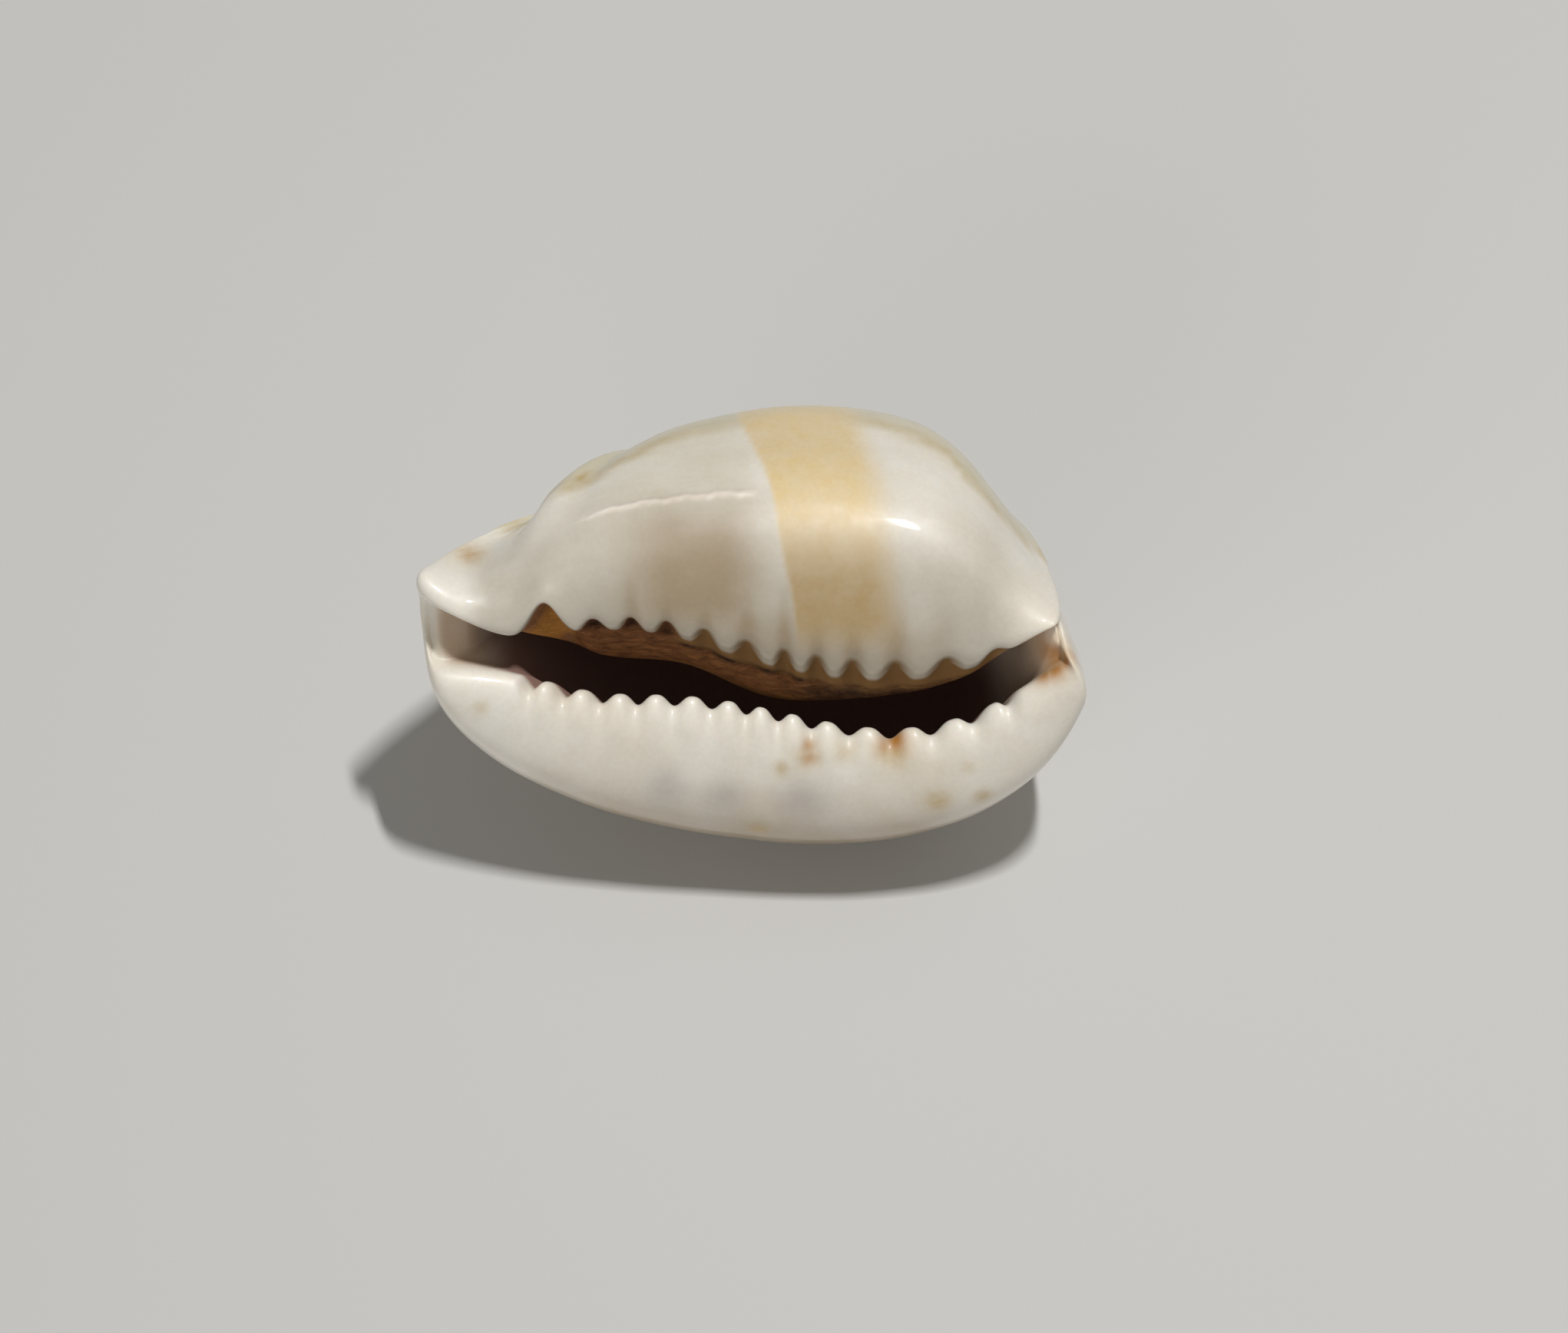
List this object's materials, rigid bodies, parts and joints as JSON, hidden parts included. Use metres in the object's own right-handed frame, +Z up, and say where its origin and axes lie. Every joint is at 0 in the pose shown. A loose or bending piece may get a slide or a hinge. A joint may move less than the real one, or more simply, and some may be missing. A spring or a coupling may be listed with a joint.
{
  "type": "cowrie shell",
  "caption": "Cowrie shell on its side with the toothed slit mouth facing up and forward, ivory gloss with a soft golden band over the inner lip.",
  "frame": {"origin": "centre of the bounding box at floor level, beside the small flat that the shell rests on", "axes": "+Z up, +X along the shell from its front end to its rear end, -Y the side that the mouth faces"},
  "size_m": [0.026, 0.016, 0.0163],
  "materials": {
    "shell": "gloss"
  },
  "bodies": {
    "root": {"shell": "shell"}
  },
  "joints": []
}
